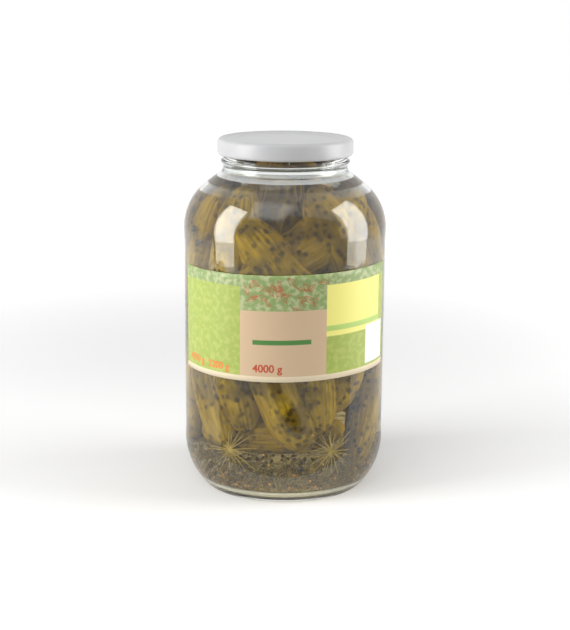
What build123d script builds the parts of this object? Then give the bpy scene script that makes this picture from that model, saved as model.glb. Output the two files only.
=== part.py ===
from build123d import *
from math import atan2, cos, degrees, radians, sin, tan
import os

# A catering jar of pickled gherkins: a round glass jar with a shut steel
# twist-off lid, a front label wrapped part of the way round, and brine up to
# the neck. Millimetres, +Z up, origin at the middle of the base, front at -Y.
# The jar and the lid are turned shapes, so each is a section in radius and
# height, revolved about Z. What is sunk in the brine isn't modelled here.

# --- Driving dimensions -----------------------------------------------------
PANEL_RADIUS = 78.32        # recessed straight wall that carries the label
RIDGE_PROUD = 0.33          # how far the heel and shoulder ridges stand out
HEEL_TOP = 37.0             # height of the widest point above the heel
PANEL_BOTTOM = 45.0
PANEL_TOP = 192.0
SHOULDER_START = 203.3      # height of the widest point below the shoulder
SHOULDER_RADIUS = 43.6
SHOULDER_TURN = 53.1        # degrees that the shoulder turns inwards
NECK_RADIUS = 48.3
NECK_FILLET = 4.0           # hollow corner where the shoulder meets the neck
BEAD_HEIGHT = 254.9
BEAD_RADIUS = 1.5           # half-round ring on the neck, below the lid
MOUTH_TOP = 271.1

FOOT_INNER = 60.5           # flat ring that the jar stands on
FOOT_OUTER = 63.3
FOOT_FILLET = 1.6
PUNT_RISE = 4.0             # how far the base is pushed up in the middle
PUNT_EDGE_HEIGHT = 1.0      # height of the pushed-up base beside the foot
FOOT_CHAMFER = 1.5          # width of the slope between the two

WALL = 2.8
NECK_WALL = 3.3
HEEL_WALL = 3.6
FLOOR_MIDDLE = 9.2          # height of the inside floor at the axis
FLOOR_EDGE = 6.0            # and where it meets the heel
FLOOR_EDGE_RADIUS = 52.0
FLOOR_FILLET = 12.0

BRINE_LEVEL = 242.2

LID_RADIUS = 52.3
LID_BOTTOM = 259.6
LID_TOP = 272.8
LID_SHEET = 0.6             # lacquered tinplate with its lining
LID_CURL = 2.2              # radius of the rolled lower edge
LID_SHOULDER_DROP = 2.6     # height of the rounded shoulder of the skirt
LID_RIM_RADIUS = 48.9       # crest of the raised rim
LID_PANEL_RADIUS = 46.9     # foot of the rim, where it meets the flat panel
RIM_STEP = 0.8              # width of the soft corner there
LID_STEP_RADIUS = 40.4      # edge of the slightly dished middle
LID_STEP_WIDTH = 0.8
LID_DISH = 0.35
LID_CURL_END = -100         # how far round the lower edge is rolled, degrees

LABEL_SHEET = 0.15
LABEL_BOTTOM = 99.5
LABEL_TOP = 180.3
LABEL_LEFT = -71.5          # degrees from the front, towards -X
LABEL_RIGHT = 73.5          # degrees from the front, towards +X
LABEL_ASKEW = 1.15          # degrees that the right end is wrapped too high

RIDGE_RADIUS = PANEL_RADIUS + RIDGE_PROUD


# --- Section helpers --------------------------------------------------------
def at(radius, height):
    return (radius, 0, height)


def on_circle(centre, radius, angle):
    """A point of the section, angle degrees up from the outward direction."""
    return at(centre[0] + radius * cos(radians(angle)), centre[1] + radius * sin(radians(angle)))


def arc(centre, radius, start, end):
    middle = (start + end) / 2
    return ThreePointArc(*(on_circle(centre, radius, angle) for angle in (start, middle, end)))


def turned(edges):
    """The solid that a closed section gives when it is revolved about Z."""
    return revolve(make_face(edges), Axis.Z, 360)


def joined(*pieces):
    """Section edges with straight lines in the gaps between them."""
    edges = []
    for piece in pieces:
        start = piece if isinstance(piece, tuple) else tuple(piece @ 0)
        if edges and (Vector(*start) - edges[-1][1]).length > 1e-6:
            edges.append((Line(edges[-1][1], start), Vector(*start)))
        if isinstance(piece, tuple):
            if not edges:
                edges.append((None, Vector(*piece)))
        else:
            edges.append((piece, piece @ 1))
    return [edge for edge, end in edges if edge is not None]


def dome(middle, edge_radius, edge):
    """A shallow arc that is level at the axis and falls to the edge's height."""
    ball = (edge_radius**2 + (middle - edge) ** 2) / (2 * (middle - edge))
    half = edge_radius / 2
    return ThreePointArc(
        at(0, middle),
        at(half, middle - ball + (ball**2 - half**2) ** 0.5),
        at(edge_radius, edge),
    )


# --- Glass ------------------------------------------------------------------
def heel_arc(corner, corner_radius, side, top):
    """Centre, radius and lower end of an arc that is upright at the top of the
    heel and runs smoothly into the small corner beside the foot."""
    across = side - corner[0]
    up = top - corner[1]
    radius = (across**2 + up**2 - corner_radius**2) / (2 * (across - corner_radius))
    centre = (side - radius, top)
    return centre, radius, degrees(atan2(corner[1] - centre[1], corner[0] - centre[0]))


def shoulder_edges(side, radius, neck, fillet):
    """The shoulder's round, its straight slope and the corner into the neck."""
    centre = (side - radius, SHOULDER_START)
    round_edge = arc(centre, radius, 0, SHOULDER_TURN)
    slope_end_radius = neck + fillet * (1 - cos(radians(SHOULDER_TURN)))
    slope_start = round_edge @ 1
    slope_rise = (slope_start.X - slope_end_radius) / tan(radians(SHOULDER_TURN))
    slope_end = (slope_end_radius, slope_start.Z + slope_rise)
    corner = (
        slope_end[0] + fillet * cos(radians(SHOULDER_TURN)),
        slope_end[1] + fillet * sin(radians(SHOULDER_TURN)),
    )
    neck_edge = arc(corner, fillet, 180 + SHOULDER_TURN, 180)
    return round_edge, neck_edge


def glass_outside():
    foot_corner = (FOOT_OUTER, FOOT_FILLET)
    heel, heel_radius, heel_low = heel_arc(foot_corner, FOOT_FILLET, RIDGE_RADIUS, HEEL_TOP)
    rim_round = (NECK_RADIUS - NECK_WALL / 2, MOUTH_TOP - NECK_WALL / 2)
    punt = dome(PUNT_RISE, FOOT_INNER - FOOT_CHAMFER, PUNT_EDGE_HEIGHT)
    round_edge, neck_edge = shoulder_edges(RIDGE_RADIUS, SHOULDER_RADIUS, NECK_RADIUS, NECK_FILLET)
    return joined(
        at(0, MOUTH_TOP),
        at(0, PUNT_RISE),
        punt,
        at(FOOT_INNER, 0),
        arc(foot_corner, FOOT_FILLET, -90, heel_low),
        arc(heel, heel_radius, heel_low, 0),
        at(PANEL_RADIUS, PANEL_BOTTOM),
        at(PANEL_RADIUS, PANEL_TOP),
        round_edge,
        neck_edge,
        arc((NECK_RADIUS, BEAD_HEIGHT), BEAD_RADIUS, -90, 90),
        arc(rim_round, NECK_WALL / 2, 0, 90),
        at(0, MOUTH_TOP),
    )


def glass_hollow(top):
    """The space inside the glass up to a height above the neck."""
    heel, heel_radius, _ = heel_arc((FOOT_OUTER, FOOT_FILLET), FOOT_FILLET, RIDGE_RADIUS, HEEL_TOP)
    inner_heel = heel_radius - HEEL_WALL
    floor_height = FLOOR_EDGE - heel[1]
    floor_end = heel[0] + (inner_heel**2 - floor_height**2) ** 0.5
    heel_low = degrees(atan2(floor_height, floor_end - heel[0]))
    side = RIDGE_RADIUS - WALL
    bore = NECK_RADIUS - NECK_WALL
    round_edge, neck_edge = shoulder_edges(
        side, SHOULDER_RADIUS - WALL, bore, NECK_FILLET + NECK_WALL
    )
    face = make_face(
        joined(
            at(0, top),
            at(0, FLOOR_MIDDLE),
            dome(FLOOR_MIDDLE, FLOOR_EDGE_RADIUS, FLOOR_EDGE),
            at(floor_end, FLOOR_EDGE),
            arc(heel, inner_heel, heel_low, 0),
            round_edge,
            neck_edge,
            at(bore, top),
            at(0, top),
        )
    )
    corner = face.vertices().sort_by_distance(at(floor_end, FLOOR_EDGE))[0]
    return revolve(fillet(corner, FLOOR_FILLET), Axis.Z, 360)


def make_glass():
    return turned(glass_outside()) - glass_hollow(MOUTH_TOP)


def make_brine():
    over = 100
    above = Pos(0, 0, BRINE_LEVEL + over / 2) * Cylinder(LID_RADIUS * 2, over)
    return glass_hollow(MOUTH_TOP) - above


# --- Lid --------------------------------------------------------------------
def make_lid():
    """A pressed cap: panel, raised rim, shoulder, skirt and rolled lower edge.
    The lower edge of the section is the upper one, moved in by the sheet."""
    curl = (LID_RADIUS - LID_CURL, LID_BOTTOM + LID_CURL)
    step_end = LID_STEP_RADIUS + LID_STEP_WIDTH

    def panel(height):
        return [
            at(0, height - LID_DISH),
            at(LID_STEP_RADIUS, height - LID_DISH),
            at(step_end, height),
        ]

    def rim(crest, drop):
        """From the foot of the rim over its crest to the top of the skirt."""
        middle = (LID_PANEL_RADIUS + LID_RIM_RADIUS) / 2
        skirt = LID_RADIUS - drop
        skirt_top = LID_TOP - LID_SHOULDER_DROP - drop / 2
        fall = crest - skirt_top
        inner = ThreePointArc(
            at(LID_PANEL_RADIUS + drop, MOUTH_TOP + LID_SHEET + RIM_STEP / 2 - drop / 2),
            at(middle, crest - 0.15 * LID_SHEET),
            at(LID_RIM_RADIUS, crest),
        )
        outer = ThreePointArc(
            at(LID_RIM_RADIUS, crest),
            at(LID_RIM_RADIUS + 0.66 * (skirt - LID_RIM_RADIUS), crest - 0.34 * fall),
            at(skirt, skirt_top),
        )
        return [inner, outer]

    inner_rim, inner_shoulder = rim(LID_TOP - LID_SHEET, LID_SHEET)
    outside = [
        *panel(MOUTH_TOP + LID_SHEET),
        at(LID_PANEL_RADIUS - RIM_STEP, MOUTH_TOP + LID_SHEET),
        *rim(LID_TOP, 0),
        arc(curl, LID_CURL, 0, LID_CURL_END),
    ]
    inside = [
        arc(curl, LID_CURL - LID_SHEET, LID_CURL_END, 0),
        *reversed([inner_rim @ 0, inner_rim @ 1, inner_shoulder @ 1]),
        at(LID_PANEL_RADIUS, MOUTH_TOP),
        *reversed(panel(MOUTH_TOP)),
        at(0, MOUTH_TOP + LID_SHEET - LID_DISH),
    ]
    return turned(joined(*outside, *(tuple(p) if isinstance(p, Vector) else p for p in inside)))


# --- Label ------------------------------------------------------------------
def make_label():
    """A thin sleeve of paper, cut to the label's angle and to a tilted band."""
    height = LABEL_TOP - LABEL_BOTTOM
    margin = 10
    low = LABEL_BOTTOM - margin
    high = LABEL_TOP + margin
    outer = PANEL_RADIUS + LABEL_SHEET
    strip = make_face(
        joined(at(PANEL_RADIUS, low), at(outer, low), at(outer, high), at(PANEL_RADIUS, high),
               at(PANEL_RADIUS, low))
    )
    sleeve = revolve(strip, Axis.Z, LABEL_RIGHT - LABEL_LEFT)
    sleeve = Rot(0, 0, LABEL_LEFT - 90) * sleeve
    middle = (LABEL_BOTTOM + LABEL_TOP) / 2
    band = Pos(0, 0, middle) * Rot(0, -LABEL_ASKEW, 0) * Box(3 * outer, 3 * outer, height)
    return sleeve & band


NODES = {
    "glass_jar": make_glass,
    "lid": make_lid,
    "label": make_label,
    "brine": make_brine,
}

os.makedirs("parts", exist_ok=True)
for node, make in NODES.items():
    shape = make()
    export_step(shape, f"parts/{node}.step")
    print(node, round(shape.volume / 1000, 1), "ml of solid")
print("brimful capacity", round(glass_hollow(MOUTH_TOP).volume / 1000), "ml")
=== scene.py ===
# %% [markdown]
# # A catering jar of pickled gherkins
# The jar is a clear glass shell with brine inside it, whole gherkins, dill and
# seeds sunk in the brine, a white steel lid on top and a paper label round the
# front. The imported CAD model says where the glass, lid, label and brine are.
# Each of them is made again here as a fine, smooth mesh at the same place,
# because light that bends through glass shows every flat facet of a CAD mesh.

# %% Load the frame
from math import atan2, cos, hypot, pi, radians, sin, sqrt, tan

import bmesh
import bpy
import numpy as np
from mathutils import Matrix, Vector


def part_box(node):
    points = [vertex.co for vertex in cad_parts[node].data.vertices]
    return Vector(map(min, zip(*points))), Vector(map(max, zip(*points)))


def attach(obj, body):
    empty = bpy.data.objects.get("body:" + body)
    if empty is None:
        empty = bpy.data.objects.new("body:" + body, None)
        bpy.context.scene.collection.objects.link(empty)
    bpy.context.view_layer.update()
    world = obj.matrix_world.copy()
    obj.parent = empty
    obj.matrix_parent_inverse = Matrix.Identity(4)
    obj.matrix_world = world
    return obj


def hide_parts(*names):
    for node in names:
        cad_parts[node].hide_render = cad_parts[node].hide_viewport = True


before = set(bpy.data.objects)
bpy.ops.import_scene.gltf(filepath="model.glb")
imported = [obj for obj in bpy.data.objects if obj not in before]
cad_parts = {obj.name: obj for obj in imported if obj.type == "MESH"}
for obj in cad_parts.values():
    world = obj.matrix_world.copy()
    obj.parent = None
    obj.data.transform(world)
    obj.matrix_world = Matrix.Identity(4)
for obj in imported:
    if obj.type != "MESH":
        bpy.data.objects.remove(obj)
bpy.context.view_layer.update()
MM = 0.001
jar_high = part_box("glass_jar")[1]
lid_low, lid_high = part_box("lid")
brine_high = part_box("brine")[1]
print("glass is", round(jar_high.z / MM, 1), "mm tall, brine stands at", round(brine_high.z / MM, 1))

# %% [markdown]
# ## The camera
# A long lens looks slightly down on the jar from about a metre in front of
# it. A short lens close by would make the foot look smaller than the lid. The
# roll of less than half a degree makes the jar lean a hair to the right.

# %% Camera
CAMERA_BACK = 1.0834
CAMERA_SIDE = 0.0005
CAMERA_HEIGHT = 0.3879
CAMERA_DOWN = 13.267
CAMERA_ROLL = 0.415
LENS, SENSOR = 80.5, 36

camera_data = bpy.data.cameras.new("camera")
camera_data.lens = LENS
camera_data.sensor_width = SENSOR
camera = bpy.data.objects.new("camera", camera_data)
bpy.context.scene.collection.objects.link(camera)
camera.location = (CAMERA_SIDE, -CAMERA_BACK, CAMERA_HEIGHT)
camera.rotation_mode = "XYZ"
camera.rotation_euler = (radians(90 - CAMERA_DOWN), 0, 0)
camera.rotation_euler.rotate_axis("Z", radians(CAMERA_ROLL))
bpy.context.scene.camera = camera
bpy.context.scene.view_settings.view_transform = "Standard"
print("the camera stands", CAMERA_BACK, "m in front and looks", CAMERA_DOWN, "degrees down")

# %% [markdown]
# ## Shader maths
# Most finishes here are small sums on masks and noises. Writing them as node
# links hides the idea, so one class wraps an output socket and lets Python's
# operators add the Math nodes. A second class holds one material and adds any
# other node by its type, its settings and its sockets.

# %% Value, Node and Finish
COLOUR_LOW, COLOUR_HIGH, COLOUR_OUT = 6, 7, 2     # the Mix node's colour sockets


class Value:
    """One output of a shader node, with arithmetic on it."""

    def __init__(self, finish, socket):
        self.finish = finish
        self.socket = socket

    def maths(self, operation, *inputs):
        return self.finish.node("ShaderNodeMath", {"operation": operation}, dict(enumerate(inputs)))["Value"]

    def __add__(self, other):
        return self.maths("ADD", self, other)

    def __sub__(self, other):
        return self.maths("SUBTRACT", self, other)

    def __rsub__(self, other):
        return self.maths("SUBTRACT", other, self)

    def __mul__(self, other):
        return self.maths("MULTIPLY", self, other)

    __radd__ = __add__
    __rmul__ = __mul__

    def over(self, edge, soft):
        """0 below the edge and 1 above it, with a smooth step soft wide."""
        settings = {"interpolation_type": "SMOOTHSTEP"}
        sockets = {"Value": self, "From Min": edge - soft / 2, "From Max": edge + soft / 2}
        return self.finish.node("ShaderNodeMapRange", settings, sockets)["Result"]

    def between(self, low, high, soft):
        """1 from low to high and 0 outside them, with soft edges."""
        return self.over(low, soft) * (1 - self.over(high, soft))

    def most(self, other):
        """The larger of the two."""
        return self.maths("MAXIMUM", self, other)


class Node:
    """A shader node whose outputs come back as values."""

    def __init__(self, finish, made):
        self.finish = finish
        self.made = made

    def __getitem__(self, name):
        return Value(self.finish, self.made.outputs[name])


class Finish:
    """A material, or a world, and the nodes in it."""

    def __init__(self, name, owners=bpy.data.materials, output="ShaderNodeOutputMaterial"):
        self.material = owners.new(name)
        self.material.use_nodes = True
        self.tree = self.material.node_tree
        self.tree.nodes.clear()
        self.out = self.tree.nodes.new(output)

    def node(self, kind, settings=None, sockets=None):
        """Any node: its settings first, then the values or links of its sockets."""
        made = self.tree.nodes.new(kind)
        for name, setting in (settings or {}).items():
            setattr(made, name, setting)
        for name, value in (sockets or {}).items():
            if isinstance(value, Value):
                self.tree.links.new(value.socket, made.inputs[name])
            else:
                made.inputs[name].default_value = value
        return Node(self, made)

    def place(self):
        """The point being shaded, in metres."""
        return self.node("ShaderNodeTexCoord")["Object"]

    def noise(self, spot, scale, detail=2.0):
        """Soft random grey, in blotches about 1 / scale across."""
        return self.node("ShaderNodeTexNoise", {}, {"Vector": spot, "Scale": scale, "Detail": detail})["Fac"]

    def bump(self, height, strength, deep):
        """A surface roughened by a height, at most deep metres of it."""
        sockets = {"Height": height, "Strength": strength, "Distance": deep}
        return self.node("ShaderNodeBump", {}, sockets)["Normal"]

    def mix(self, share, low, high):
        """A colour between two colours, by a share from 0 to 1."""
        sockets = {0: share}
        for socket, colour in ((COLOUR_LOW, low), (COLOUR_HIGH, high)):
            sockets[socket] = colour if isinstance(colour, Value) else (*colour, 1)
        return self.node("ShaderNodeMix", {"data_type": "RGBA"}, sockets)[COLOUR_OUT]

    def surface(self, shader, volume=None):
        self.tree.links.new(shader.socket, self.out.inputs["Surface"])
        if volume:
            self.tree.links.new(volume.socket, self.out.inputs["Volume"])
        return self.material

    def coat(self, sockets):
        """Ends the material in one Principled shader with these sockets."""
        return self.surface(self.node("ShaderNodeBsdfPrincipled", {}, sockets)["BSDF"])


# %% [markdown]
# ## The floor and what hangs round it
# The jar stands on a white sweep. Far from the jar the floor glows for the
# camera, so that it fades into the white behind it, and near the jar it is a
# plain surface that keeps the shadow. A dark curtain hangs behind the camera,
# and a dark mat lies between it and the jar: the middle of the glass reflects
# them in place of the white all round. Only reflections see these two.

# %% Floor, curtain and world
WHITE, PAINT, BLACK = (1.0, 1.0, 1.0), (0.97, 0.97, 0.97), (0.02, 0.02, 0.02)
FLOOR_HALF = 4.0
AMBIENT = 0.24                     # the world's strength for all but direct rays
NEAR_GLOW, FAR_GLOW = 0.08, 0.8    # the floor's glow beside the jar and far from it
FADE_AT, FADE_WIDE = 0.75, 0.9     # where one turns into the other, in metres from the jar
CURTAIN_BACK, CURTAIN_WIDE, CURTAIN_TALL = 1.3, 2.6, 1.5
MAT_FRONT, MAT_LIFT = 0.10, 0.001


def flat_stage(name, material, wide, low, high):
    """A rectangle from -wide to wide, between two edges given as (y, z)."""
    mesh = bpy.data.meshes.new(name)
    mesh.from_pydata([(-wide, *low), (wide, *low), (wide, *high), (-wide, *high)], [], [(0, 1, 2, 3)])
    mesh.materials.append(material)
    sheet = bpy.data.objects.new(name, mesh)
    bpy.context.scene.collection.objects.link(sheet)
    return sheet


def seen_directly(finish):
    """1 for rays from the camera, a mirror or glass, and 0 for the rest."""
    path = finish.node("ShaderNodeLightPath")
    return path["Is Camera Ray"].most(path["Is Glossy Ray"]).most(path["Is Transmission Ray"])


def matt(finish, colour):
    return finish.node("ShaderNodeBsdfDiffuse", {}, {"Color": (*colour, 1)})["BSDF"]


floor_finish = Finish("floor")
floor_spot = {0: floor_finish.place()}
from_jar = floor_finish.node("ShaderNodeVectorMath", {"operation": "LENGTH"}, floor_spot)["Value"]
glow = NEAR_GLOW + from_jar.over(FADE_AT, FADE_WIDE) * (FAR_GLOW - NEAR_GLOW)
glow_sockets = {"Color": (*WHITE, 1), "Strength": seen_directly(floor_finish) * glow}
floor_glow = floor_finish.node("ShaderNodeEmission", {}, glow_sockets)["Emission"]
lit_and_glowing = {0: matt(floor_finish, PAINT), 1: floor_glow}
floor_finish.surface(floor_finish.node("ShaderNodeAddShader", {}, lit_and_glowing)["Shader"])
flat_stage("floor", floor_finish.material, FLOOR_HALF, (-FLOOR_HALF, 0), (FLOOR_HALF, 0))

curtain_finish = Finish("curtain")
dark = curtain_finish.surface(matt(curtain_finish, BLACK))
curtain = flat_stage("curtain", dark, CURTAIN_WIDE, (-CURTAIN_BACK, 0), (-CURTAIN_BACK, CURTAIN_TALL))
dark_mat = flat_stage("dark_mat", dark, CURTAIN_WIDE, (-CURTAIN_BACK, MAT_LIFT), (-MAT_FRONT, MAT_LIFT))
for sheet in (curtain, dark_mat):
    sheet.visible_camera = False
    sheet.visible_diffuse = False
    sheet.visible_shadow = False
    sheet.visible_transmission = False

sky = Finish("world", bpy.data.worlds, "ShaderNodeOutputWorld")
sky_sockets = {"Color": (*WHITE, 1), "Strength": AMBIENT + seen_directly(sky) * (1 - AMBIENT)}
sky.surface(sky.node("ShaderNodeBackground", {}, sky_sockets)["Background"])
bpy.context.scene.world = sky.material
print("the floor is", 2 * FLOOR_HALF, "m across, and the world's strength is", AMBIENT)

# %% [markdown]
# ## The lamps
# Two tall softboxes stand one each side. Their reflections run down the glass
# as upright strips, which is how an eye tells that clear glass is round. A
# third lamp overhead lights the lid. It is kept out of reflections, where it
# would only add a bright patch.

# %% Softboxes
BOX_TALL, BOX_HEIGHT, BOX_AIM = 1.2, 0.45, 0.15


def softbox(name, azimuth, distance, width, power, tall=BOX_TALL, height=BOX_HEIGHT, aim=BOX_AIM):
    """A flat lamp, azimuth degrees round from the front towards +X, aimed at a height on the axis."""
    lamp = bpy.data.lights.new(name, "AREA")
    lamp.shape = "RECTANGLE"
    lamp.size = width
    lamp.size_y = tall
    lamp.energy = power
    box = bpy.data.objects.new(name, lamp)
    bpy.context.scene.collection.objects.link(box)
    turn = radians(azimuth)
    box.location = (distance * sin(turn), -distance * cos(turn), height)
    down = atan2(height - aim, distance)
    box.rotation_euler = (pi / 2 - down, 0, turn)
    print(name, "gives", power, "W")
    return box


softbox("softbox_left", azimuth=-70, distance=1.0, width=0.5, power=11.5)
softbox("softbox_right", azimuth=88, distance=1.0, width=0.6, power=11)
over_box = softbox(
    "softbox_over", azimuth=-25, distance=0.75, width=0.9, power=5, tall=0.9, height=1.3, aim=0.1
)
over_box.visible_glossy = False

# %% [markdown]
# ## Turned pieces
# Glass, lid and brine are all round, so each is a section of radius and height
# spun about the jar's axis. Writing the rings of points directly gives even
# quads, which shade and bend light smoothly.

# %% Sections and lathe
AROUND = 160
ON_AXIS = 1e-6


def arc(centre, radius, start, end, step=5):
    """Section points round a centre, angles in degrees up from outwards."""
    count = max(3, int(abs(end - start) / step) + 1)
    turns = np.radians(np.linspace(start, end, count))
    return [(centre[0] + radius * cos(t), centre[1] + radius * sin(t)) for t in turns]


def link(name, mesh, *materials):
    """An object for a mesh, in the scene and at the origin."""
    for material in materials:
        mesh.materials.append(material)
    piece = bpy.data.objects.new(name, mesh)
    bpy.context.scene.collection.objects.link(piece)
    return piece


def lathe(name, section, *materials):
    """A closed turned piece from a section in mm that starts and ends on the axis."""
    rings = [(r, z) for r, z in section if r > ON_AXIS]
    turns = np.linspace(0, 2 * pi, AROUND, endpoint=False)
    points = [(r * sin(t) * MM, -r * cos(t) * MM, z * MM) for r, z in rings for t in turns]
    first, last = len(points), len(points) + 1
    points += [(0, 0, section[0][1] * MM), (0, 0, section[-1][1] * MM)]
    faces = []
    for ring in range(len(rings) - 1):
        low, high = ring * AROUND, (ring + 1) * AROUND
        for i in range(AROUND):
            j = (i + 1) % AROUND
            faces.append((low + i, low + j, high + j, high + i))
    top = (len(rings) - 1) * AROUND
    for i in range(AROUND):
        j = (i + 1) % AROUND
        faces.append((first, j, i))
        faces.append((last, top + i, top + j))
    mesh = bpy.data.meshes.new(name)
    mesh.from_pydata(points, [], faces)
    mesh.shade_smooth()
    print(name, len(faces), "faces")
    return link(name, mesh, *materials)


# %% [markdown]
# ## Clear finishes
# Real refracting glass keeps lamplight out of what it holds unless a great many
# rays are traced. So the glass and the brine bend what the camera sees, and let
# rays that carry lamplight straight through, a little tinted. Where brine wets
# the glass nothing shines, so that stretch of the wall has its own finish.

# %% Clear finish
GLASS_INDEX, BRINE_INDEX = 1.5, 1.33
BRINE_TINT, BRINE_DENSITY = (0.74, 0.66, 0.36), 24.0
RIPPLE_SCALE, RIPPLE_STRENGTH, RIPPLE_DEEP = 38.0, 0.12, 0.001


def clear(name, colour, tint, index, shine, rippled=False):
    """A see-through finish and its shader, left open for a volume."""
    finish = Finish(name)
    sockets = {
        "Base Color": (*colour, 1),
        "Roughness": 0.0,
        "IOR": index,
        "Transmission Weight": 1.0,
        "Specular IOR Level": shine,
    }
    if rippled:
        ripple = finish.noise(finish.place(), RIPPLE_SCALE)
        sockets["Normal"] = finish.bump(ripple, RIPPLE_STRENGTH, RIPPLE_DEEP)
    glass = finish.node("ShaderNodeBsdfPrincipled", {}, sockets)["BSDF"]
    let_by = finish.node("ShaderNodeBsdfTransparent", {}, {"Color": (*tint, 1)})["BSDF"]
    path = finish.node("ShaderNodeLightPath")
    lamplight = path["Is Shadow Ray"].most(path["Is Diffuse Ray"])
    return finish, finish.node("ShaderNodeMixShader", {}, {0: lamplight, 1: glass, 2: let_by})["Shader"]


glass_finish, glass = clear(
    "clear_glass", (0.97, 0.99, 0.98), (0.98, 0.99, 0.985), GLASS_INDEX, 0.5, rippled=True
)
glass_finish.surface(glass)
wet_finish, wet_glass = clear("wetted_glass", (0.98, 0.99, 0.98), WHITE, GLASS_INDEX, 0.0)
wet_finish.surface(wet_glass)
brine_finish, brine_shader = clear("brine", (0.97, 0.95, 0.86), (0.97, 0.96, 0.9), BRINE_INDEX, 0.0)
brine_sockets = {"Color": (*BRINE_TINT, 1), "Density": BRINE_DENSITY}
brine_volume = brine_finish.node("ShaderNodeVolumeAbsorption", {}, brine_sockets)["Volume"]
brine_finish.surface(brine_shader, brine_volume)
print("brine takes up light at a density of", BRINE_DENSITY)

# %% [markdown]
# ## Glass
# The wall is recessed where the label sits, between two faint ridges. Above it
# the shoulder turns in to the neck, with one bead under the lid. The foot is a
# narrow ring round a pushed-up base. A plain cylinder with its edges rounded
# off would miss the shoulder's long curve, so the outside and the inside are
# each a run of points and arcs, in mm.

# %% Glass jar
PANEL, RIDGE, HEEL_TOP, SHOULDER = 78.32, 78.65, 37.0, 203.3
NECK, BORE, TURN, WALL = 48.3, 45.0, 53.1, 2.8
HEEL, HEEL_RADIUS, HEEL_INSIDE = (24.6, HEEL_TOP), 54.04, 50.44
SHOULDER_RADIUS, OUTER_FILLET, INNER_FILLET = 43.6, 4.0, 7.3
BEAD_HEIGHT, BEAD, LIP = 254.9, 1.5, 1.65
mouth = jar_high.z / MM
level = brine_high.z / MM


def shoulder(side, radius, neck, fillet):
    """Round, slope and hollow corner from the side wall up into the neck."""
    round_edge = arc((side - radius, SHOULDER), radius, 0, TURN, 3)
    end = neck + fillet * (1 - cos(radians(TURN)))
    top = round_edge[-1][1] + (round_edge[-1][0] - end) / tan(radians(TURN))
    corner = (end + fillet * cos(radians(TURN)), top + fillet * sin(radians(TURN)))
    return round_edge + arc(corner, fillet, 180 + TURN, 180, 8)


def straight(start, end, count):
    return [tuple(p) for p in np.linspace(start, end, count)]


outside = (
    [(0, 4.0), (20, 3.7), (40, 2.7), (59, 1.0), (60.5, 0.0), (63.3, 0.0)]
    + arc((63.3, 1.6), 1.6, -80, -45, 12)
    + arc(HEEL, HEEL_RADIUS, -42, 0, 2.5)
    + [(RIDGE - 0.05, 39.5), (PANEL + 0.08, 43.0)]
    + straight((PANEL, 45), (PANEL, 192), 12)
    + [(PANEL + 0.08, 195.0), (RIDGE - 0.05, 200.0)]
    + shoulder(RIDGE, SHOULDER_RADIUS, NECK, OUTER_FILLET)
    + arc((NECK, BEAD_HEIGHT), BEAD, -90, 90, 20)
    + arc((NECK - LIP, mouth - LIP), LIP, 0, 90, 22)
)
floor_inside = [(0, 9.2), (20, 8.8), (40, 7.4), (54, 6.0), (60, 6.6)]
inside = (
    floor_inside
    + arc(HEEL, HEEL_INSIDE, -33, 0, 3)
    + shoulder(RIDGE - WALL, SHOULDER_RADIUS - WALL, BORE, INNER_FILLET)
    + arc((BORE + LIP, mouth - LIP), LIP, 180, 90, 22)
)
jar = lathe("jar", outside + inside[::-1], glass_finish.material, wet_finish.material)
first_inside_ring = len(outside) - 1
heights = np.array([vertex.co.z for vertex in jar.data.vertices])
for polygon in jar.data.polygons:
    ring = min(polygon.vertices) // AROUND
    if ring > first_inside_ring and heights[list(polygon.vertices)].max() < (level + 1) * MM:
        polygon.material_index = 1
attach(jar, "root")
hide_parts("glass_jar")
print("the mouth is at", round(mouth, 1), "mm, and", round(mouth - level, 1), "mm above the brine")

# %% [markdown]
# ## Brine
# Brine and glass touch, and a thin gap of air between them would mirror the
# light inside the wall. So the brine's skin is set a little way into the glass
# rather than on it. At the top it creeps up the wall in a small curve.

# %% Brine
REACH, REACH_DOWN = 0.8, 2.6      # how far the brine reaches into the wall and the thick base
BASE_END = 12                     # below this height the base counts, and above it the wall
CREEP, CREEP_WIDE = 0.7, 4        # the brine's climb up the wall, and how far out it starts
wet = [(r + REACH, z) for r, z in inside if z < level - 1 and r > 1]
wet = [(0, inside[0][1] - REACH_DOWN)] + [(r, z - (REACH_DOWN if z < BASE_END else REACH)) for r, z in wet]
wall_inside = inside[len(floor_inside):]
rim = np.interp(level, [z for r, z in wall_inside], [r for r, z in wall_inside]) + REACH
surface = [(rim, level), (rim - 1.6, level - 0.5), (rim - CREEP_WIDE, level - CREEP), (0, level - CREEP)]
brine = lathe("brine_fill", wet + surface, brine_finish.material)
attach(brine, "root")
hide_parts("brine")

# %% [markdown]
# ## Lid
# A twist-off cap is one pressed disc of lacquered tinplate: a panel, a raised
# rim, a rounded shoulder, a skirt and a rolled lower edge. Its section is drawn
# outside and inside, so that the sheet has its real thickness.

# %% Lid lacquer
LACQUER_DARK, LACQUER_PALE = (0.50, 0.50, 0.51), (0.53, 0.53, 0.535)
lid_finish = Finish("white_lacquer")
speck = lid_finish.noise(lid_finish.place(), 900.0)
cloud = lid_finish.noise(lid_finish.place(), 60.0)
lid_finish.coat({
    "Base Color": lid_finish.mix(cloud, LACQUER_DARK, LACQUER_PALE),
    "Roughness": 0.3 + cloud * 0.08,
    "Normal": lid_finish.bump(speck, 0.08, 0.0002),
})

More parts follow.
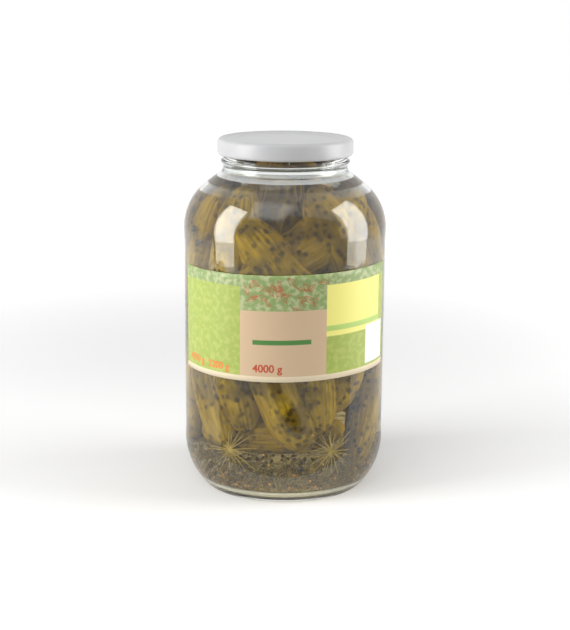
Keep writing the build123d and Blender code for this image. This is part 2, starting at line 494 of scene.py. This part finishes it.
# %% Lid
lid_top, lid_bottom = lid_high.z / MM, lid_low.z / MM
lid_radius = lid_high.x / MM
SHEET, CURL = 0.6, 2.2
curl = (lid_radius - CURL, lid_bottom + CURL)
panel = mouth + SHEET
lid_outside = (
    [(0, panel - 0.35), (30, panel - 0.35), (40.2, panel - 0.35)]
    + [(40.6, panel - 0.2), (41.2, panel), (45.8, panel)]
    + [(46.9, panel + 0.25), (47.6, lid_top - 0.25), (48.3, lid_top - 0.04), (48.9, lid_top)]
    + [(49.9, lid_top - 0.2), (51.1, lid_top - 0.85), (51.9, lid_top - 1.7), (lid_radius, lid_top - 2.8)]
    + arc(curl, CURL, 0, -100, 12)
)
lid_inside = (
    arc(curl, CURL - SHEET, -100, 0, 14)
    + [(lid_radius - SHEET, lid_top - 3.0), (50.2, lid_top - 1.5), (48.9, lid_top - SHEET)]
    + [(47.4, lid_top - SHEET - 0.3), (46.9, mouth), (41.2, mouth), (40.2, mouth - 0.35), (0, mouth - 0.35)]
)
lid = lathe("lid_cap", (lid_outside + lid_inside)[::-1], lid_finish.material)
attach(lid, "root")
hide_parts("lid")
print("the lid is", round(2 * lid_radius, 1), "mm across")

# %% [markdown]
# ## Label print
# The print is flat fields of colour with a soft mottle. The sheet has its own
# UV map in millimetres across and up, so each field is a plain comparison on
# that map, and the fields are laid one over another like inks.

# %% Label print
LEFT, RIGHT, ASKEW, PAPER = -71.5, 73.5, 1.15, 0.15
BOTTOM, TOP = 99.5, 180.3
SPREAD = radians(RIGHT - LEFT) * PANEL
TALL = TOP - BOTTOM
PAST = 1                                                   # a field runs this far past the paper's edge
CENTRE_LEFT, CENTRE_RIGHT, BAND_FOOT = 64.0, 130.0, 54.0   # the middle field's sides and its band's foot
CREAM, YELLOW, PAPER_WHITE = (0.78, 0.66, 0.46), (0.86, 0.80, 0.22), (0.86, 0.86, 0.84)
STRIPE_GREEN, LINE_GREEN = (0.45, 0.62, 0.16), (0.09, 0.26, 0.06)

label_finish = Finish("label_print")
spot = label_finish.node("ShaderNodeUVMap", {"uv_map": "print"})["UV"]
split = label_finish.node("ShaderNodeSeparateXYZ", {}, {"Vector": spot})
across, up = split["X"], split["Y"]


def field(x0, x1, y0, y1, soft=0.25):
    """1 inside a rectangle of the label, in mm from its left end and foot."""
    return across.between(x0, x1, soft) * up.between(y0, y1, soft)


dapple = label_finish.noise(spot, 0.22, 6.0).over(0.53, 0.2)
green = label_finish.mix(dapple * 0.6, (0.36, 0.45, 0.09), (0.50, 0.55, 0.14))
band = label_finish.mix(dapple, (0.26, 0.36, 0.13), (0.46, 0.50, 0.26))
slant = (across + up) * 5.2
hatch = slant.maths("SINE", slant).over(0.0, 1.4)
kraft = label_finish.mix(hatch * 0.5, (0.68, 0.50, 0.32), (0.50, 0.34, 0.20))
print_colour = green
for left, right, foot, head, ink in (
    (-PAST, SPREAD + PAST, 72, TALL + PAST, band),
    (CENTRE_LEFT, CENTRE_RIGHT, BAND_FOOT, TALL + PAST, band),
    (CENTRE_LEFT, CENTRE_RIGHT, -PAST, BAND_FOOT, kraft),
    (CENTRE_RIGHT, SPREAD - 10, 33, 72, YELLOW),
    (CENTRE_RIGHT, SPREAD - 10, 37, 41, STRIPE_GREEN),
    (SPREAD - 30, SPREAD - 3, 6, 36, PAPER_WHITE),
    (CENTRE_LEFT + 10, CENTRE_RIGHT - 12, 28.4, 32, LINE_GREEN),
    (-PAST, SPREAD + PAST, -PAST, 4.2, CREAM),
):
    print_colour = label_finish.mix(field(left, right, foot, head), print_colour, ink)
fibre = label_finish.noise(spot, 3.0)
label_finish.coat({
    "Base Color": print_colour,
    "Roughness": 0.38 + fibre * 0.12,
    "Normal": label_finish.bump(fibre, 0.1, 0.0002),
})
print("the label is", round(SPREAD, 1), "by", round(TALL, 1), "mm")

# %% [markdown]
# ## Label sheet
# The label is a paper sheet wrapped a good third of the way round, a degree
# askew. A flat plane bent by a modifier would do, but a grid of points worked
# out on the glass lies exactly against it, and the same sum then lays the
# lettering and the motifs on the paper.


# %% Label sheet
def on_label(x, y, lift):
    """A point of the jar's face, in metres, from mm across and up the label."""
    turn = radians(LEFT) + x / PANEL
    out = PANEL + lift
    rise = out * sin(turn) * tan(radians(ASKEW))
    return (out * sin(turn) * MM, -out * cos(turn) * MM, (BOTTOM + y + rise) * MM)


def lay_uv(mesh, name, uvs):
    """A UV map from one pair of values for each point of a mesh."""
    layer = mesh.uv_layers.new(name=name)
    for corner in mesh.loops:
        layer.data[corner.index].uv = uvs[corner.vertex_index]


STEPS_ACROSS, STEPS_UP = 110, 24
grid = [(x, y) for y in np.linspace(0, TALL, STEPS_UP) for x in np.linspace(0, SPREAD, STEPS_ACROSS)]
side_points = len(grid)
points = [on_label(x, y, lift) for lift in (PAPER, 0.0) for x, y in grid]
faces = []
for j in range(STEPS_UP - 1):
    for i in range(STEPS_ACROSS - 1):
        a = j * STEPS_ACROSS + i
        b = a + STEPS_ACROSS
        faces.append((a, a + 1, b + 1, b))
        faces.append((side_points + a, side_points + b, side_points + b + 1, side_points + a + 1))
edge = [(i, 0) for i in range(STEPS_ACROSS)]
edge += [(STEPS_ACROSS - 1, j) for j in range(1, STEPS_UP)]
edge += [(i, STEPS_UP - 1) for i in range(STEPS_ACROSS - 2, -1, -1)]
edge += [(0, j) for j in range(STEPS_UP - 2, 0, -1)]
rim_points = [j * STEPS_ACROSS + i for i, j in edge]
for here, there in zip(rim_points, rim_points[1:] + rim_points[:1]):
    faces.append((there, here, side_points + here, side_points + there))
label_mesh = bpy.data.meshes.new("label_sheet")
label_mesh.from_pydata(points, [], faces)
label_mesh.shade_smooth()
lay_uv(label_mesh, "print", grid + grid)
label = link("label_sheet", label_mesh, label_finish.material)
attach(label, "root")
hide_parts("label")
print("label_sheet", len(faces), "faces")

# %% [markdown]
# ## Weights on the label
# The plain weights are printed in a heavier ink than the fields. Blender's text
# tool makes the letters flat, a mesh is taken from them, and each point of it
# is then laid on the curved paper.

# %% Weights
INK = 0.05
TYPE_SIZE, TYPE_BOLD = 1.4, 0.03      # the font's size and its extra weight, for 1 mm of height


def ink_finish(name, dark, pale):
    ink = Finish(name)
    ink.coat({"Base Color": ink.mix(ink.noise(ink.place(), 500.0), dark, pale), "Roughness": 0.4})
    return ink.material


red_ink = ink_finish("red_print", (0.50, 0.06, 0.03), (0.60, 0.10, 0.04))
orange_ink = ink_finish("orange_print", (0.75, 0.17, 0.02), (0.83, 0.24, 0.04))


def weight(name, words, x, y, size, material):
    """Flat lettering, size mm high, laid on the label."""
    curve = bpy.data.curves.new(name, "FONT")
    curve.body = words
    curve.size = size * TYPE_SIZE
    curve.offset = size * TYPE_BOLD
    maker = bpy.data.objects.new(name + "_maker", curve)
    bpy.context.scene.collection.objects.link(maker)
    flat_mesh = bpy.data.meshes.new_from_object(maker.evaluated_get(bpy.context.evaluated_depsgraph_get()))
    bpy.data.objects.remove(maker)
    for vertex in flat_mesh.vertices:
        vertex.co = on_label(x + vertex.co.x, y + vertex.co.y, PAPER + INK)
    flat_mesh.name = name
    piece = link(name, flat_mesh, material)
    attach(piece, "root")
    print(name, "says", words)


weight("weight_front", "4000 g", 74.0, 7.5, 5.9, red_ink)
weight("weight_side", "4000 g", 8.5, 8.0, 5.4, orange_ink)
weight("weight_drained", "2200 g", 34.0, 7.0, 5.4, orange_ink)

# %% [markdown]
# ## Leaf motifs
# A band above the middle field carries line drawings of leaves in red. Each
# leaf is two curved sides and a midrib, made of thin strips, and the scatter is
# random but the same on every run, because its seed is fixed.

# %% Leaf motifs
LINE = 0.3
LEAVES = 26
LEAF_WIDE = 0.24      # half a leaf's width, as a share of its length


def leaf_lines(x, y, turn, size):
    """The two sides and the midrib of one leaf, as lines of points in mm."""
    lines = []
    for side in (1, -1):
        half = side * size * LEAF_WIDE
        lines.append([(size * t, half * sin(pi * t) * (1.3 - 0.6 * t)) for t in np.linspace(0, 1, 12)])
    lines.append([(-size * 0.25 + size * 1.1 * t, 0.04 * size * sin(6 * t)) for t in np.linspace(0, 1, 8)])
    c, s = cos(radians(turn)), sin(radians(turn))
    return [[(x + c * a - s * b, y + s * a + c * b) for a, b in line] for line in lines]


def strip(ax, ay, bx, by):
    """The corners of a strip LINE wide from one point to another."""
    length = hypot(bx - ax, by - ay) or 1
    nx, ny = -(by - ay) / length * LINE / 2, (bx - ax) / length * LINE / 2
    return [(ax - nx, ay - ny), (bx - nx, by - ny), (bx + nx, by + ny), (ax + nx, ay + ny)]


points, faces = [], []
picks = np.random.default_rng(5)
for place in range(LEAVES):
    x = CENTRE_LEFT + 3 + (CENTRE_RIGHT - CENTRE_LEFT - 8) * (place + 0.5) / LEAVES
    y = picks.uniform(BAND_FOOT + 2, TALL - 5)
    for line in leaf_lines(x, y, picks.uniform(0, 360), picks.uniform(5, 9)):
        for here, there in zip(line, line[1:]):
            corners = strip(*here, *there)
            if min(c[1] for c in corners) < BAND_FOOT or max(c[1] for c in corners) > TALL - 0.5:
                continue
            faces.append(tuple(range(len(points), len(points) + 4)))
            points += [on_label(cx, cy, PAPER + INK) for cx, cy in corners]
leaf_mesh = bpy.data.meshes.new("leaf_motifs")
leaf_mesh.from_pydata(points, [], faces)
leaves = link("leaf_motifs", leaf_mesh, red_ink)
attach(leaves, "root")
print("leaf_motifs", len(faces), "strips")

# %% [markdown]
# ## Gherkin skin
# A pickled gherkin is olive, with paler streaks along it, cloudy patches and
# dark spots round its warts. Streaks follow the fruit, so they read a UV map
# that runs along and round the skin in millimetres. Patches and spots have no
# direction, so they read the plain position. Brine bends light nearly as much
# as wet skin does, so what is sunk in it hardly shines.

# %% Gherkin skin
SUNK_GLOSS = 0.06
OLIVE_DARK, OLIVE_PALE = (0.17, 0.105, 0.003), (0.42, 0.27, 0.006)
PATCH, SPOT = (0.085, 0.052, 0.006), (0.04, 0.024, 0.006)
STREAK_ALONG, STREAK_ROUND = 0.05, 0.42

skin = Finish("gherkin_skin")
skin_spot = skin.node("ShaderNodeUVMap", {"uv_map": "skin"})["UV"]
streak_sockets = {"Vector": skin_spot, "Scale": (STREAK_ALONG, STREAK_ROUND, 1)}
streak = skin.noise(skin.node("ShaderNodeMapping", {}, streak_sockets)["Vector"], 1.0, 4.0)
cloud = skin.noise(skin.place(), 42.0, 5.0)
ragged = skin.noise(skin.place(), 420.0, 3.0)
dot_sockets = {"Vector": skin.place(), "Scale": 165.0, "Randomness": 0.9}
dots = skin.node("ShaderNodeTexVoronoi", {}, dot_sockets)["Distance"]
speckle = (1 - (dots + ragged * 0.3 - 0.15).over(0.34, 0.22)) * cloud.over(0.42, 0.2)
olive = skin.mix(streak.over(0.5, 0.5), OLIVE_DARK, OLIVE_PALE)
olive = skin.mix(cloud.over(0.52, 0.16) * 0.75, olive, PATCH)
skin.coat({
    "Base Color": skin.mix(speckle * 0.8, olive, SPOT),
    "Roughness": 0.42 + ragged * 0.15,
    "Specular IOR Level": SUNK_GLOSS,
    "Normal": skin.bump(streak * 0.2 + ragged * 0.4 - speckle * 0.4, 0.5, 0.0008),
})

# %% [markdown]
# ## Gherkin shape
# Each gherkin is a bent, blunt-ended body with low warts. A grid of points
# runs along and round a curved centre line, and is pushed out where a wart
# sits, so the warts are real shape and catch the light at the outline too.


# %% Gherkin shape
ALONG, ROUND = 72, 48
WARTS = 54
BLUNT = 2.6           # the higher, the blunter the ends
WART_END = 6          # past this squared distance a wart is too low to count


def unit(v):
    return v / np.linalg.norm(v)


def gherkin(centre, direction, bend_to, length, girth, bend, seed):
    """Points, faces and UVs from a middle, the way it points and the way it bows, in mm."""
    picks = np.random.default_rng(seed)
    axis = unit(np.array(direction, float))
    bow = np.array(bend_to, float)
    bow = unit(bow - axis * bow.dot(axis))
    side = np.cross(axis, bow)
    wart_ranges = ((0.06, 0.94), (0, 2 * pi), (1.4, 2.6), (0.3, 0.85))
    warts = [[picks.uniform(low, high) for low, high in wart_ranges] for _ in range(WARTS)]
    lobes = picks.uniform(0, 2 * pi)
    points, uvs = [], []
    for i in range(ALONG + 1):
        t = 0.5 - 0.5 * cos(pi * i / ALONG)
        s = (t - 0.5) * length
        angle = bend * 2 * s / length
        spine = axis * s + bow * (bend * length / 8) * (1 - (2 * s / length) ** 2) * 2
        out = unit(bow + axis * angle)
        uneven = 1 - 0.10 * (t - 0.5) + 0.03 * sin(9 * t + lobes)
        full = girth * (1 - abs(2 * t - 1) ** BLUNT) ** 0.5 * uneven
        for j in range(ROUND):
            turn = 2 * pi * j / ROUND
            reach = full * (1 + 0.03 * cos(3 * turn + lobes) + 0.004 * cos(9 * turn))
            for wart_along, wart_turn, wide, high in warts:
                gap = abs((turn - wart_turn + pi) % (2 * pi) - pi) * max(full, 1)
                far = (gap**2 + ((t - wart_along) * length) ** 2) / wide**2
                if far < WART_END:
                    reach += high * np.exp(-far)
            points.append((centre + spine + (out * cos(turn) + side * sin(turn)) * reach) * MM)
            uvs.append((s + seed * 37.0, turn * girth))
    faces = []
    for i in range(ALONG):
        a, b = i * ROUND, (i + 1) * ROUND
        for j in range(ROUND):
            k = (j + 1) % ROUND
            faces.append((a + j, a + k, b + k, b + j))
    return points, faces, uvs


def build_gherkin(name, **shape):
    points, faces, uvs = gherkin(**shape)
    mesh = bpy.data.meshes.new(name)
    mesh.from_pydata([tuple(p) for p in points], [], faces)
    mesh.shade_smooth()
    lay_uv(mesh, "skin", uvs)
    work = bmesh.new()
    work.from_mesh(mesh)
    bmesh.ops.remove_doubles(work, verts=work.verts, dist=1e-6)
    bmesh.ops.recalc_face_normals(work, faces=work.faces)
    work.to_mesh(mesh)
    work.free()
    piece = link(name, mesh, skin.material)
    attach(piece, "root")


def stood(azimuth, out, height, lean, dip, length, girth, bend, bow_turn):
    """A gherkin's place from where it stands in the jar: azimuth from the front,
    distance from the axis, lean in the wall's plane and dip towards the axis."""
    a, b = radians(azimuth), radians(bow_turn)
    outward = np.array([sin(a), -cos(a), 0])
    sideways = np.array([cos(a), sin(a), 0])
    rise = np.array([0, 0, 1.0])
    direction = rise * cos(radians(lean)) * cos(radians(dip))
    direction = direction + sideways * sin(radians(lean)) - outward * sin(radians(dip))
    return dict(
        centre=outward * out + rise * height,
        direction=direction,
        bend_to=outward * cos(b) + np.cross(direction, outward) * sin(b),
        length=length,
        girth=girth,
        bend=bend,
    )


# %% [markdown]
# ## Packing the jar
# The gherkins that show at the front are placed one by one. Each row says
# azimuth, distance from the axis, height, lean, dip, length, girth, bend and
# the way the bow faces. The rest fill the back and the middle in two tiers.

# %% Gherkins in place
shown = [
    (-38, 55, 192, 4, 6, 92, 17.5, 0.10, 0),
    (-4, 55, 176, -38, 2, 104, 18.5, 0.12, 60),
    (14, 44, 205, 58, 8, 112, 18.5, 0.45, 80),
    (44, 52, 190, -22, 10, 96, 19, 0.15, 20),
    (76, 50, 176, -10, 4, 98, 18, 0.12, 0),
    (-72, 52, 184, 10, 6, 96, 17, 0.12, 0),
    (-58, 54, 84, -24, 4, 100, 17.5, 0.16, 0),
    (-38, 56, 96, -16, 0, 88, 15.5, 0.12, 0),
    (-4, 54, 88, -22, 0, 104, 19.5, 0.10, 20),
    (20, 55, 98, -8, 2, 92, 17, 0.10, 0),
    (48, 54, 112, 14, 2, 90, 17.5, 0.14, 0),
    (74, 54, 66, 24, 4, 92, 15, 0.18, 0),
    (-10, 40, 52, 86, 0, 104, 16.5, 0.12, 0),
    (-86, 55, 74, 8, 2, 92, 17, 0.12, 0),
]
TIERS = (92, 180)
BACK_LEANS, MIDDLE_LEANS = (-14, 11, -6, 17, -10), (12, -10, 7)
hidden = []
for tier, height in enumerate(TIERS):
    for k, lean in enumerate(BACK_LEANS):
        uneven = 6 * ((k * 7) % 3 - 1)
        hidden.append((112 + 34 * k + 12 * tier, 54, height + uneven, lean, 3, 96, 17.5, 0.12, 0))
    for k, lean in enumerate(MIDDLE_LEANS):
        hidden.append((60 + 120 * k + 50 * tier, 20, height + 8 * (k - 1), lean, 0, 98, 17.5, 0.08, 0))
for index, row in enumerate(shown + hidden):
    build_gherkin(f"gherkin_{index + 1:02d}", seed=index + 3, **stood(*row))
print(len(shown), "gherkins show at the front and", len(hidden), "fill the back")

# %% [markdown]
# ## Seeds
# Hundreds of seeds have sunk to the heel and the floor of the jar. Placing them
# by hand would be slow, so Geometry Nodes scatter them: random points on a guide
# surface, a small ball of uneven size on each, all realized into one plain mesh.

# %% Finish of what is sunk
SUNK_GRAIN = 260.0


def sunk_finish(name, low, high, roughness):
    """A plain two-toned coat that hardly shines under brine."""
    finish = Finish(name)
    tone = finish.noise(finish.place(), SUNK_GRAIN, 4.0)
    return finish.coat({
        "Base Color": finish.mix(tone.over(0.5, 0.3), low, high),
        "Roughness": roughness,
        "Specular IOR Level": SUNK_GLOSS,
        "Normal": finish.bump(tone, 0.4, 0.0004),
    })


mustard = sunk_finish("mustard_coat", (0.42, 0.19, 0.03), (0.70, 0.40, 0.11), 0.5)
brown_seed = sunk_finish("brown_seed_coat", (0.09, 0.05, 0.01), (0.26, 0.14, 0.03), 0.6)

# %% Scatter tree
SMALLEST, LARGEST = 0.7, 1.25     # a seed's size, as a share of the size asked for
ANY_TURN = 6.3                    # a full turn, in radians
BALL_STEPS = 2


def scatter_tree(name, stretch, material):
    """The node tree, and the identifiers of its inputs by name."""
    tree = bpy.data.node_groups.new(name, "GeometryNodeTree")
    inputs = {}
    kinds = {"Geometry": "Geometry", "Density": "Float", "Size": "Float", "Seed": "Int"}
    for socket_name, kind in kinds.items():
        socket = tree.interface.new_socket(socket_name, in_out="INPUT", socket_type="NodeSocket" + kind)
        inputs[socket_name] = socket.identifier
    tree.interface.new_socket("Geometry", in_out="OUTPUT", socket_type="NodeSocketGeometry")
    new = tree.nodes.new
    start, end = new("NodeGroupInput"), new("NodeGroupOutput")
    spread, ball = new("GeometryNodeDistributePointsOnFaces"), new("GeometryNodeMeshIcoSphere")
    put, real = new("GeometryNodeInstanceOnPoints"), new("GeometryNodeRealizeInstances")
    smooth, paint = new("GeometryNodeSetShadeSmooth"), new("GeometryNodeSetMaterial")
    size, turn = new("FunctionNodeRandomValue"), new("FunctionNodeRandomValue")
    for chance, low, high in (
        (size, (SMALLEST,) * 3, (LARGEST, LARGEST, LARGEST * stretch)),
        (turn, (0, 0, 0), (ANY_TURN,) * 3),
    ):
        chance.data_type = "FLOAT_VECTOR"
        chance.inputs["Min"].default_value = low
        chance.inputs["Max"].default_value = high
    ball.inputs["Subdivisions"].default_value = BALL_STEPS
    paint.inputs["Material"].default_value = material
    for giver, output, taker, socket in (
        (start, "Geometry", spread, "Mesh"),
        (start, "Density", spread, "Density"),
        (start, "Seed", spread, "Seed"),
        (start, "Seed", size, "Seed"),
        (start, "Size", ball, "Radius"),
        (spread, "Points", put, "Points"),
        (ball, "Mesh", put, "Instance"),
        (size, "Value", put, "Scale"),
        (turn, "Value", put, "Rotation"),
        (put, "Instances", real, "Geometry"),
        (real, "Geometry", smooth, "Geometry"),
        (smooth, "Geometry", paint, "Geometry"),
        (paint, "Geometry", end, "Geometry"),
    ):
        tree.links.new(giver.outputs[output], taker.inputs[socket])
    return tree, inputs


def scatter(name, guide, seed, per_area, size, stretch, material):
    """Many small balls on a guide surface, as one piece. Size in mm."""
    tree, inputs = scatter_tree(name, stretch, material)
    modifier = guide.modifiers.new(name, "NODES")
    modifier.node_group = tree
    modifier[inputs["Density"]] = float(per_area)
    modifier[inputs["Size"]] = size * MM
    modifier[inputs["Seed"]] = seed
    bpy.context.view_layer.update()
    made = bpy.data.meshes.new_from_object(guide.evaluated_get(bpy.context.evaluated_depsgraph_get()))
    guide.modifiers.remove(modifier)
    made.name = name
    piece = link(name, made)
    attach(piece, "root")
    print(name, len(made.polygons), "faces")


# %% Seeds
GUIDE_AROUND = 48


def guide_surface(name, section):
    """A turned sheet, open at both ends, that seeds are scattered on. In mm."""
    turns = [2 * pi * i / GUIDE_AROUND for i in range(GUIDE_AROUND)]
    points = [(r * sin(t) * MM, -r * cos(t) * MM, z * MM) for r, z in section for t in turns]
    faces = []
    for ring in range(len(section) - 1):
        low, high = ring * GUIDE_AROUND, (ring + 1) * GUIDE_AROUND
        for i in range(GUIDE_AROUND):
            j = (i + 1) % GUIDE_AROUND
            faces.append((low + i, low + j, high + j, high + i))
    mesh = bpy.data.meshes.new(name)
    mesh.from_pydata(points, [], faces)
    return link(name, mesh)


heel_guide = guide_surface("heel_guide", [(20, 11.5), (50, 9.5), (60, 10), (66.5, 14), (70, 20), (72, 26)])
side_guide = guide_surface("side_guide", [(71.0, 24), (73.2, 40), (73.4, 60)])
scatter("mustard_seeds", heel_guide, 4, 9500, 1.0, 1.0, mustard)
scatter("dill_seeds", heel_guide, 9, 12000, 0.9, 2.2, brown_seed)
scatter("loose_seeds", side_guide, 2, 900, 0.9, 1.0, mustard)
for guide in (heel_guide, side_guide):
    bpy.data.objects.remove(guide)

# %% [markdown]
# ## Dill
# Dill is all thin stalks: umbels, whose rays spread like the ribs of an
# umbrella, and soft threads of leaf between them. Both are tapering tubes along
# lines of points. Five sides are enough for a stalk half a millimetre thick.


# %% Tubes
SIDES = 5
TAPER = 0.6                  # the share of its thickness that a stalk loses on its way to the tip
OFF_AXIS = (0.31, 0.17, 0.93)      # a direction that no stalk runs in


def tubes(name, lines, material):
    """Thin stalks along lines of points, each with its own radius, in mm."""
    points, faces = [], []
    for line, thick in lines:
        line = np.array(line, float)
        base = len(points)
        for n, (middle, way) in enumerate(zip(line, np.gradient(line, axis=0))):
            way = unit(way)
            first = unit(np.cross(way, OFF_AXIS))
            second = np.cross(way, first)
            r = thick * (1 - TAPER * n / (len(line) - 1))
            for k in range(SIDES):
                turn = 2 * pi * k / SIDES
                points.append(tuple((middle + (first * cos(turn) + second * sin(turn)) * r) * MM))
        for n in range(len(line) - 1):
            a, b = base + n * SIDES, base + (n + 1) * SIDES
            for k in range(SIDES):
                m = (k + 1) % SIDES
                faces.append((a + k, a + m, b + m, b + k))
        last = base + (len(line) - 1) * SIDES
        faces.append(tuple(base + k for k in reversed(range(SIDES))))
        faces.append(tuple(last + k for k in range(SIDES)))
    mesh = bpy.data.meshes.new(name)
    mesh.from_pydata(points, [], faces)
    mesh.shade_smooth()
    piece = link(name, mesh, material)
    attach(piece, "root")
    print(name, len(faces), "faces")


def polar(azimuth, out, height):
    """A point from its azimuth from the front, distance from the axis and height."""
    a = radians(azimuth)
    return np.array([out * sin(a), -out * cos(a), height])


# %% Umbels
UMBELS = ((-34, 41, 21), (30, 41, 20), (150, 38, 20), (-130, 44, 19))     # azimuth, height and spread
UMBEL_OUT, UMBEL_RAYS, RAY_THICK = 71.5, 22, 0.5

stalk = sunk_finish("dill_stalk", (0.36, 0.26, 0.07), (0.56, 0.42, 0.13), 0.5)
picks = np.random.default_rng(11)
rays = []
for azimuth, height, size in UMBELS:
    middle = polar(azimuth, UMBEL_OUT, height)
    outward = polar(azimuth, 1, 0)
    side = np.array([cos(radians(azimuth)), sin(radians(azimuth)), 0])
    for ray in range(UMBEL_RAYS):
        turn = 2 * pi * ray / UMBEL_RAYS + picks.uniform(-0.12, 0.12)
        reach = size * picks.uniform(0.7, 1.1)
        way = side * cos(turn) + np.array([0, 0, 1]) * sin(turn)
        tip = middle + way * reach - outward * picks.uniform(3, 8)
        bent = (middle + tip) / 2 + outward * picks.uniform(-2, 1)
        rays.append(([middle, bent, tip], RAY_THICK))
tubes("dill_umbels", rays, stalk)

# %% Fronds
THREADS = 1500
PILE_OUT, PILE_LOW, PILE_HIGH = 66, 12, 24     # the pile's radius, its foot and its depth at the wall
THREAD_CURL = 1.6
WALL_OUT, FLOOR_UP = 70, 10                    # no thread passes this radius or goes below this height



def kept_in(p):
    """A point moved in from the wall and up from the floor, where it would touch them."""
    inwards = min(1, WALL_OUT / max(hypot(p[0], p[1]), 1))
    return p * inwards * (1, 1, 0) + (0, 0, max(p[2], FLOOR_UP))


frond = sunk_finish("dill_frond", (0.12, 0.08, 0.006), (0.27, 0.18, 0.012), 0.6)
threads = []
for _ in range(THREADS):
    azimuth = picks.uniform(-180, 180)
    out = PILE_OUT * sqrt(picks.uniform(0.35, 1.0))
    height = PILE_LOW + PILE_HIGH * picks.uniform(0, 1) ** 1.4 * (0.5 + 0.5 * out / PILE_OUT)
    root = polar(azimuth, out, height)
    way = unit(picks.normal(size=3) * (1, 1, 0.7))
    curl_way = picks.normal(size=3)
    length = picks.uniform(5, 14)
    line = [root + way * length * t + curl_way * THREAD_CURL * t * t for t in (0, 0.33, 0.66, 1)]
    threads.append(([kept_in(p) for p in line], picks.uniform(0.22, 0.4)))
tubes("dill_fronds", threads, frond)

# %% [markdown]
# ## Peppercorns
# A peppercorn is a small black ball, shrivelled as it dried. A round mesh with
# a few waves pressed into it gives that, each corn with waves of its own.

# %% Peppercorns
CORN_RADIUS, CORN_STEPS = 2.6, 4
WAVES, WAVE_TIGHT, WAVE_DEEP = 9, 1900, 0.035
CORNS = (
    (-33, 66, 222),
    (-66, 72, 206),
    (-60, 73, 197),
    (10, 72, 30),
    (52, 71, 36),
    (-120, 72, 150),
    (140, 72, 60),
    (200, 71, 200),
)

pepper = sunk_finish("pepper_coat", (0.02, 0.015, 0.012), (0.06, 0.045, 0.035), 0.7)


def peppercorn(name, centre, seed):
    """A shrivelled ball at a centre in mm."""
    work = bmesh.new()
    bmesh.ops.create_icosphere(work, subdivisions=CORN_STEPS, radius=CORN_RADIUS * MM)
    waves = np.random.default_rng(seed).normal(size=(WAVES, 3)) * WAVE_TIGHT
    for vertex in work.verts:
        v = np.array(vertex.co)
        vertex.co *= 1 + WAVE_DEEP * sum(sin(float(w.dot(v))) for w in waves) / 2
        vertex.co += Vector(centre * MM)
    mesh = bpy.data.meshes.new(name)
    work.to_mesh(mesh)
    work.free()
    mesh.shade_smooth()
    corn = link(name, mesh, pepper)
    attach(corn, "root")


for index, (azimuth, out, height) in enumerate(CORNS):
    peppercorn(f"peppercorn_{index + 1}", polar(azimuth, out, height), index)
print(len(CORNS), "peppercorns")
